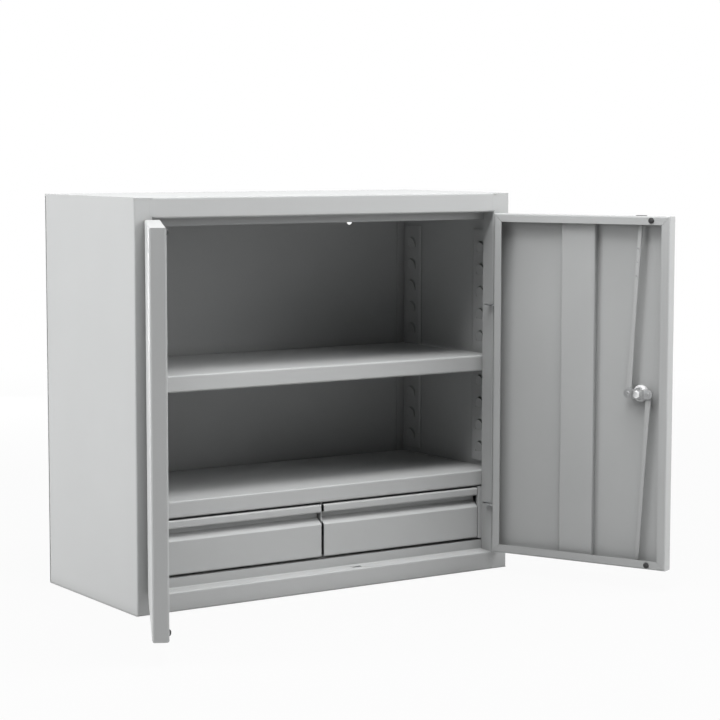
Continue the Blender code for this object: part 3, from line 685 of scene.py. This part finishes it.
@dataclass(frozen=True)
class RodLock:
    """The right door's rod lock: T handle outside; clamped barrel, cranked cam and rods inside.

    Profiles hold radii and depths, counted inwards.
    """

    reach: float = 0.255
    height: float = 0.298
    pin_radius: float = 0.0165
    cam_radius: float = 0.0075
    cam_sheet: float = 0.0025
    cam_depth: float = 0.0125
    cam_crank: float = 0.0035
    cam_edge: float = 0.00045
    crown_half: float = 0.0075
    crank_foot: float = 0.010
    bolt_seat: float = 0.0188
    bolt_across: float = 0.0105
    bolt_height: float = 0.0040
    bolt_side_cuts: int = 3
    bolt_chamfer: float = 0.0006
    bolt_corner_slope: float = 0.6
    bolt_inset: float = 0.08
    bolt_crown: Profile = ((0.86, 0.0002), (0.5, 0.00005), (0.2, 0.0))
    bolt_sharp_deg: float = 25.0
    shank_profile: Profile = (
        (0.0, 0.0004), (0.0049, 0.0004), (0.0049, -0.0001), (0.003, -0.0001), (0.003, -0.0075),
        (0.0024, -0.0082), (0.0, -0.0082))
    shank_steps: int = 24
    case_steps: int = 40
    barrel_profile: Profile = (
        (0.0058, 0.009), (0.0082, 0.009), (0.009, 0.0082), (0.009, -0.0003), (0.013, -0.0003),
        (0.013, -0.0018), (0.0122, -0.0026), (0.0112, -0.0028), (0.0058, -0.0028), (0.0058, 0.009))
    nut_profile: Profile = (
        (0.0093, 0.0013), (0.0126, 0.0013), (0.013, 0.0017), (0.013, 0.0048), (0.0127, 0.0054),
        (0.0101, 0.0090), (0.0098, 0.0092), (0.0093, 0.0092), (0.0093, 0.0013))
    rivet_proud: float = 0.0015
    rivet_head: Profile = (
        (0.0011, -0.0030), (0.0011, -0.0004), (0.0015, 0.0), (0.0026, -0.0001), (0.0035, -0.0006),
        (0.00375, -0.0012), (0.002, -0.0012))
    rivet_foot: Profile = (
        (0.002, 0.0012), (0.0037, 0.0012), (0.0034, 0.0004), (0.0022, 0.0), (0.0, 0.0))
    rods: tuple[tuple[str, int, float], ...] = (("upper", 1, 0.2699), ("lower", -1, 0.2669))
    rod_front: float = 0.0102
    rod_sheet: float = 0.0020
    rod_eye: float = 0.0049
    rod_half: float = 0.0033
    rod_tip: float = 0.0012
    rod_neck: float = 0.090
    rod_shoulder: float = 0.4
    rod_edge: float = 0.0005
    studs: Profile = ((0.180, 0.0015), (0.201, 0.0012), (0.222, 0.0019))
    stud_offset: float = 0.0008
    stud_steps: int = 16
    stud_dome: Profile = (
        (0.0, 0.0008), (0.45, 0.00075), (0.8, 0.0005), (1.0, 0.0001), (1.0, -0.0004),
        (0.0, -0.0004))
    grip_length: float = 0.048
    grip_width: float = 0.012
    grip_height: float = 0.014
    grip_bar: float = 0.55
    grip_edge: float = 0.0022
    grip_top: float = -0.0031
    neck_profile: Profile = (
        (0.0, -0.0080), (0.0054, -0.0080), (0.0050, -0.0062), (0.0056, -0.0038), (0.0075, -0.0016),
        (0.0082, 0.0), (0.0054, 0.0), (0.0054, 0.0186), (0.0, 0.0186))

    def _space(self, aside: float = 0.0, depth: float = 0.0) -> Matrix:
        """Return a place on the lock.

        Args:
            aside: Distance from the lock's axis along the door.
            depth: Distance inwards from the door's outer skin.

        Returns:
            The place's space, with the door at rest.
        """
        door = DoorSpace(Hand.RIGHT)
        axis = door.matrix(self.reach, door.outer_skin, self.height)
        return axis @ Matrix.Translation((aside, depth, 0.0))

    def build_cam(self) -> None:
        """Build the cranked cam as a folded strap with round ends."""
        strap = Workpiece.disc(self.cam_radius)
        for vert in strap.shape.verts:
            vert.co.x += math.copysign(self.pin_radius, vert.co.x)
        for fold in (-self.crank_foot, -self.crown_half, self.crown_half, self.crank_foot):
            strap.cut((fold, 0.0, 0.0), (1.0, 0.0, 0.0))
        slope = (self.crown_half + self.crank_foot) / 2
        crown = [vert for vert in strap.shape.verts if abs(vert.co.x) < slope]
        bmesh.ops.translate(strap.shape, vec=(0.0, self.cam_crank, 0.0), verts=crown)
        strap.thicken(self.cam_sheet)
        strap.round_edges(self.cam_edge, least_deg=RIM_DEG)
        strap.place(self._space(depth=self.cam_depth))
        strap.hand_over("lock_cam_strap", DULL_ZINC, Slot.ZINC, "lock_turn", ["lock_cam"])

    def build_bolt(self) -> None:
        """Build the cam's bolt: chamfered hexagon with a domed crown, washer face and shank."""
        flat = self.bolt_across / 2
        head = Workpiece.disc(flat / math.cos(math.pi / 6), 6)
        bmesh.ops.subdivide_edges(head.shape, edges=list(head.shape.edges),
                                  cuts=self.bolt_side_cuts, use_grid_fill=False)
        head.thicken(self.bolt_height)
        crown = max(head.shape.faces, key=lambda face: face.calc_center_median().y)
        for vert in crown.verts:
            past_flat = max(0.0, math.hypot(vert.co.x, vert.co.z) - flat)
            vert.co.y -= self.bolt_chamfer + self.bolt_corner_slope * past_flat
        for share, drop in self.bolt_crown:
            bmesh.ops.inset_individual(head.shape, faces=[crown], thickness=flat * self.bolt_inset)
            for vert in crown.verts:
                scale = flat * share / math.hypot(vert.co.x, vert.co.z)
                vert.co = (vert.co.x * scale, self.bolt_height - drop, vert.co.z * scale)
        head.weld()
        head.join(Workpiece.turned(self.shank_profile, self.shank_steps))
        head.place(self._space(depth=self.bolt_seat))
        head.hand_over("lock_cam_screw", ZINC, Slot.ZINC, "lock_turn", ["lock_cam_bolt"],
                       self.bolt_sharp_deg)

    def build_rivets(self) -> None:
        """Build the hollow rivets that hold the rods to the cam."""
        low = self.rod_front - self.rivet_proud
        high = self.cam_depth + self.cam_sheet + self.rivet_proud
        head = [(radius, high + depth) for radius, depth in self.rivet_head]
        foot = [(radius, low + depth) for radius, depth in self.rivet_foot]
        bore_floor = (0.0, head[0][1])
        for place, hand, _rise in self.rods:
            rivet = Workpiece.turned((*head, *foot, bore_floor, head[0]))
            rivet.place(self._space(hand * self.pin_radius))
            rivet.hand_over(f"rod_rivet_{place}", DULL_ZINC, Slot.ZINC, "lock_turn",
                            [f"lock_rivet_{place}"])

    def build_rods(self) -> None:
        """Build the flat rods, each with a round eye, a long taper and a rounded tip."""
        taper = ((self.rod_neck, self.rod_half),
                 (self.rod_neck * self.rod_shoulder, (self.rod_eye + self.rod_half) / 2))
        for place, hand, rise in self.rods:
            run = math.hypot(self.pin_radius, rise)
            bar = Workpiece.disc(self.rod_eye)
            for vert in bar.shape.verts:
                if vert.co.z > 0.0:
                    vert.co.x *= self.rod_half / self.rod_eye
                    vert.co.z = run - self.rod_tip + self.rod_tip * vert.co.z / self.rod_eye
            for level, _half in taper:
                bar.cut((0.0, 0.0, level), (0.0, 0.0, 1.0))
            for level, half in taper:
                for vert in bar.shape.verts:
                    if abs(vert.co.z - level) < SAME_LEVEL:
                        vert.co.x = math.copysign(half, vert.co.x)
            bar.thicken(self.rod_sheet)
            bar.round_edges(self.rod_edge, least_deg=RIM_DEG)
            lean = Matrix.Rotation(math.atan2(-hand * self.pin_radius, hand * rise), 4, "Y")
            space = self._space(hand * self.pin_radius, self.rod_front) @ lean
            bar.place(space)
            bar.hand_over(f"lock_bar_{place}", PAINT, Slot.PAINT, f"{place}_rod",
                          [f"lock_rod_{place}"])
            if hand > 0:
                self.build_studs(space)

    def build_studs(self, space: Matrix) -> None:
        """Build the small studs on the upper rod.

        Args:
            space: The rod's space, Z along the rod from its eye.
        """
        for number, (run, radius) in enumerate(self.studs, start=1):
            dome = [(share * radius, depth) for share, depth in self.stud_dome]
            stud = Workpiece.turned(dome, self.stud_steps)
            stud.place(space @ Matrix.Translation((self.stud_offset, self.rod_sheet, run)))
            stud.hand_over(f"rod_stud_{number}", DULL_ZINC, Slot.ZINC, "upper_rod")

    def build_case(self) -> None:
        """Build the barrel with its outside collar."""
        barrel = Workpiece.turned(self.barrel_profile, self.case_steps)
        barrel.place(self._space())
        barrel.hand_over("lock_collar", ZINC, Slot.ZINC, "right_door", ["lock_barrel"])

    def build_nut(self) -> None:
        """Build the round nut that clamps the barrel, with a deep chamfer."""
        nut = Workpiece.turned(self.nut_profile, self.case_steps)
        nut.place(self._space())
        nut.hand_over("lock_clamp_nut", SATIN_ZINC, Slot.ZINC, "right_door", ["lock_nut"])

    def build_handle(self) -> None:
        """Build the T handle outside, waisted at its neck, with the spindle behind it."""
        grip = Workpiece.disc(self.grip_width / 2)
        stretch = (self.grip_length - self.grip_width) / 2
        for vert in grip.shape.verts:
            vert.co.x, vert.co.z = vert.co.z, vert.co.x + math.copysign(stretch, vert.co.x)
        grip.thicken(self.grip_height * self.grip_bar)
        grip.round_edges(self.grip_edge, segments=4, least_deg=RIM_DEG)
        grip.place(Matrix.Translation((0.0, -self.grip_height, 0.0)))
        grip.join(Workpiece.turned(self.neck_profile))
        grip.place(self._space(depth=self.grip_top))
        grip.hand_over("lock_t_handle", ZINC, Slot.ZINC, "lock_turn", ["lock_handle"])

    def build(self) -> None:
        """Build every piece of the lock."""
        self.build_case()
        self.build_nut()
        self.build_handle()
        self.build_cam()
        self.build_bolt()
        self.build_rivets()
        self.build_rods()


@dataclass(frozen=True)
class FrameSeams:
    """Ground and painted weld seams: at the frame's four corners and along the roof's edges."""

    half_width: float = 0.3325
    front: float = -0.145
    back: float = 0.1436
    opening_half: float = 0.3025
    roof: float = 0.600
    proud: float = 0.00005
    corners: tuple[tuple[str, float, float], ...] = (
        ("upper", 0.5726, 0.5975), ("lower", 0.0025, 0.0264))
    corner_inner: float = 0.003
    corner_outer: float = 0.005
    corner_sunk: float = 0.0004
    corner_edge: float = 0.00004
    seam_drop: float = 0.0035
    seam_height: float = 0.0029
    seam_end: float = 0.0003
    seam_bend: float = 0.0025
    seam_bend_steps: int = 5
    seam_wall: float = 0.0008

    def build(self) -> None:
        """Build the seams on both sides."""
        for hand in Hand:
            ends = sorted((hand.value * (self.opening_half - self.corner_inner),
                           hand.value * (self.opening_half + self.corner_outer)))
            for place, low, high in self.corners:
                weld = Workpiece.box((ends[0], self.front - self.proud, low),
                                     (ends[1], self.front + self.corner_sunk, high))
                weld.round_edges(self.corner_edge, segments=1)
                weld.hand_over(f"frame_weld_{hand.word}_{place}", PAINT, Slot.PAINT, "carcass")
            self.build_roof_seam(hand)

    def build_roof_seam(self, hand: Hand) -> None:
        """Build the filled joint between a side wall with its stile and the roof sheet.

        Args:
            hand: Which side.
        """
        sign = hand.value
        side, face = sign * (self.half_width + self.proud), self.front - self.proud
        inner = sign * (self.opening_half - self.seam_end)
        seam = Workpiece.folded(((side, self.back), (side, face), (inner, face)),
                                self.roof - self.seam_drop, self.seam_height, self.seam_bend,
                                self.seam_bend_steps)
        bmesh.ops.recalc_face_normals(seam.shape, faces=seam.shape.faces)
        seam.give_wall(self.seam_wall)
        seam.hand_over(f"roof_seam_{hand.word}", PAINT, Slot.PAINT, "carcass")


@dataclass(frozen=True)
class RodBushes:
    """Bushes that line the rods' slots in the header and the sill."""

    tops: tuple[tuple[str, float], ...] = (("header", 0.5723), ("sill", 0.0293))
    middle: tuple[float, float] = (0.053, -0.1323)
    length: float = 0.0178
    width: float = 0.0118
    height: float = 0.0026
    wall: float = 0.0013
    corner: float = 0.0014

    def build(self) -> None:
        """Build the bushes in their slots."""
        for word, top in self.tops:
            sleeve = Workpiece.sleeve(self.length, self.width, self.height, self.wall, self.corner)
            sleeve.place(Matrix.Translation((*self.middle, top)))
            sleeve.hand_over(f"rod_bush_{word}", PAINT, Slot.PAINT, "carcass")


@dataclass(frozen=True)
class RodGuides:
    """Black guide rings round the rods' slots in the ends of the right door."""

    tops: tuple[tuple[str, float], ...] = (("top", 0.56935), ("bottom", 0.03045))
    reach: float = 0.255
    depth: float = 0.0062
    length: float = 0.0172
    width: float = 0.0066
    height: float = 0.0008
    wall: float = 0.0013
    corner: float = 0.0026

    def build(self) -> None:
        """Build the guides on the door."""
        for word, top in self.tops:
            ring = Workpiece.sleeve(self.length, self.width, self.height, self.wall, self.corner)
            ring.place(DoorSpace(Hand.RIGHT).matrix(self.reach, self.depth, top))
            ring.hand_over(f"rod_guide_{word}", RUBBER, Slot.RUBBER, "right_door")


@dataclass(frozen=True)
class DrawerCover:
    """Folded cover strip behind a jamb, which closes the gap beside a drawer."""

    hand: Hand
    inner: float = 0.2960
    outer: float = 0.3033
    front: float = -0.1181
    back: float = -0.1125
    low: float = 0.0466
    high: float = 0.1304
    wall: float = 0.0008
    bend: float = 0.0008
    bend_steps: int = 3

    def build(self) -> None:
        """Fold the strip, face it to the front and give it its thickness."""
        sign = self.hand.value
        path = ((sign * self.inner, self.back), (sign * self.inner, self.front),
                (sign * self.outer, self.front))
        strip = Workpiece.folded(path, self.low, self.high - self.low, self.bend, self.bend_steps)
        for face in strip.shape.faces:
            face.normal_update()
        if sum(face.normal.y for face in strip.shape.faces) > 0.0:
            bmesh.ops.reverse_faces(strip.shape, faces=list(strip.shape.faces))
        strip.give_wall(self.wall)
        strip.hand_over(f"drawer_cover_{self.hand.word}", PAINT, Slot.PAINT, "carcass")


@dataclass(frozen=True)
class PhotoCamera:
    """The photograph's camera, as fitted to the cabinet's edges."""

    location: Point = (-1.71198, -2.79360, 0.67013)
    yaw_deg: float = 33.636
    pitch_deg: float = 5.751
    roll_deg: float = 0.075
    focal_px: float = 2106.92
    frame_px: int = 720
    sensor_mm: float = 36.0
    sight: float = 50.0

    def build(self) -> None:
        """Make the camera and look through it."""
        data = bpy.data.cameras.new("photo_camera")
        data.sensor_width = self.sensor_mm
        data.lens = self.focal_px / self.frame_px * self.sensor_mm
        data.clip_end = self.sight
        camera = bpy.data.objects.new("photo_camera", data)
        bpy.context.scene.collection.objects.link(camera)
        yaw = Matrix.Rotation(math.radians(-self.yaw_deg), 4, "Z")
        pitch = Matrix.Rotation(math.radians(90.0 - self.pitch_deg), 4, "X")
        roll = Matrix.Rotation(math.radians(self.roll_deg), 4, "Z")
        camera.matrix_world = Matrix.Translation(self.location) @ yaw @ pitch @ roll
        bpy.context.scene.camera = camera


@dataclass(frozen=True)
class Lamp:
    """One soft square lamp aimed at the cabinet.

    A low lamp isn't mirrored in glossy surfaces, so that it leaves no glare on the roof.
    """

    name: str
    watts: float
    size: float
    place: Point
    target: Point = (0.0, -0.1, 0.3)
    mirrored: bool = True

    def build(self) -> None:
        """Hang the lamp and aim it."""
        data = bpy.data.lights.new(self.name, "AREA")
        data.energy = self.watts
        data.size = self.size
        lamp = bpy.data.objects.new(self.name, data)
        lamp.location = self.place
        lamp.visible_glossy = self.mirrored
        aim = Vector(self.target) - Vector(self.place)
        lamp.rotation_mode = "QUATERNION"
        lamp.rotation_quaternion = aim.to_track_quat("-Z", "Y")
        bpy.context.scene.collection.objects.link(lamp)


@dataclass(frozen=True)
class Studio:
    """White surround and pale floor, with soft lamps overhead, on both sides and behind."""

    lamps: tuple[Lamp, ...] = (
        Lamp("overhead_lamp", 67.0, 1.2, (0.0, -1.15, 3.5)),
        Lamp("high_front_left_lamp", 64.0, 1.6, (-1.6, -1.9, 4.2)),
        Lamp("high_left_lamp", 18.0, 1.2, (-1.9, -1.0, 3.4)),
        Lamp("high_rear_left_lamp", 36.0, 1.2, (-2.3, 0.3, 2.4), mirrored=False),
        Lamp("left_lamp", 12.0, 1.4, (-2.3, 0.1, 1.1), mirrored=False),
        Lamp("low_left_lamp", 19.5, 0.9, (-2.3, 0.6, 0.6), mirrored=False),
        Lamp("right_lamp", 58.0, 2.0, (1.9, -1.35, 1.6), mirrored=False),
        Lamp("front_right_lamp", 10.0, 1.2, (1.05, -1.45, 1.98), mirrored=False),
        Lamp("rear_lamp", 24.0, 0.66, (0.3, 2.5, 0.36)))
    floor_half: float = 12.0
    floor_drop: float = 0.002
    floor_grid: int = 4
    floor_grey: Colour = (0.35, 0.35, 0.35)
    floor_glow: float = 0.94
    glow_near: float = 1.1
    glow_far: float = 3.2

    @staticmethod
    def _seen(graph: Graph) -> Wire:
        """Tell rays that look at the background from rays that light the cabinet.

        Args:
            graph: Where the nodes go.

        Returns:
            1 for a ray that looks, 0 for one that lights.
        """
        rays = [graph.node("ShaderNodeLightPath", output=name)
                for name in ("Is Camera Ray", "Is Glossy Ray", "Is Transmission Ray")]
        return rays[0].maximum(rays[1]).maximum(rays[2])

    def light_world(self) -> None:
        """Make the even white surround, which is seen but lights nothing."""
        world = bpy.data.worlds.new("light_tent")
        world.use_nodes = True
        graph = Graph(world.node_tree)
        glow = graph.node("ShaderNodeBackground", None,
                          {"Color": WHITE, "Strength": self._seen(graph)})
        graph.end("ShaderNodeOutputWorld", glow)
        bpy.context.scene.world = world

    def floor_material(self) -> bpy.types.Material:
        """Make the floor's material: matt grey for light, and a white that fades in for the eye.

        Returns:
            The material.
        """
        made = bpy.data.materials.new("pale_floor")
        made.use_nodes = True
        graph = Graph(made.node_tree)
        place = graph.node("ShaderNodeTexCoord", output="Object")
        reach = graph.node("ShaderNodeVectorMath", {"operation": "LENGTH"}, {0: place},
                           output="Value")
        fade = graph.ramp(reach, self.glow_near, self.glow_far)
        glowing = self._seen(graph) * (self.floor_glow + (1.0 - self.floor_glow) * fade)
        matt = graph.node("ShaderNodeBsdfDiffuse", None, {"Color": (*self.floor_grey, 1.0)})
        glow = graph.node("ShaderNodeEmission", None, {"Color": WHITE, "Strength": 1.0})
        mixed = graph.node("ShaderNodeMixShader", None, {0: glowing, 1: matt, 2: glow})
        graph.end("ShaderNodeOutputMaterial", mixed)
        return made

    def lay_floor(self) -> None:
        """Lay the pale floor under the cabinet."""
        shape = bmesh.new()
        bmesh.ops.create_grid(shape, x_segments=self.floor_grid, y_segments=self.floor_grid,
                              size=self.floor_half)
        bmesh.ops.translate(shape, verts=shape.verts, vec=(0.0, 0.0, -self.floor_drop))
        mesh = bpy.data.meshes.new("pale_floor")
        shape.to_mesh(mesh)
        shape.free()
        mesh.materials.append(self.floor_material())
        floor = bpy.data.objects.new("pale_floor", mesh)
        bpy.context.scene.collection.objects.link(floor)

    def build(self) -> None:
        """Set up surround, lamps, floor and the plain view transform."""
        self.light_world()
        for lamp in self.lamps:
            lamp.build()
        self.lay_floor()
        bpy.context.scene.view_settings.view_transform = "Standard"


class Dresser:
    """Gives each CAD node the finish of its record slot."""

    def __init__(self, packed: Mapping[str, Any]) -> None:
        self.nodes: Mapping[str, bpy.types.Object] = packed["nodes"]
        self.slots = {row["node"]: row["material_slot"] for row in packed["record"]["subparts"]}

    def dress(self) -> None:
        """Assign a finish to every node."""
        for name, item in self.nodes.items():
            finish = FINISH_OF_SLOT[Slot(self.slots[name])]
            item.data.materials.clear()
            item.data.materials.append(finish.material())
            LOG.info("dressed %s with %s", name, finish.name)


def main() -> None:
    """Dress the cabinet and set up its studio."""
    logging.basicConfig(level=logging.INFO, format="%(name)s: %(message)s")
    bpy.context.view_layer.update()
    PhotoCamera().build()
    Studio().build()
    Dresser(frame).dress()
    FrameSeams().build()
    RodBushes().build()
    RodGuides().build()
    for hand in Hand:
        DrawerCover(hand).build()
        DoorBuffers(hand).build()
    RodLock().build()


if __name__ == "__main__":
    main()
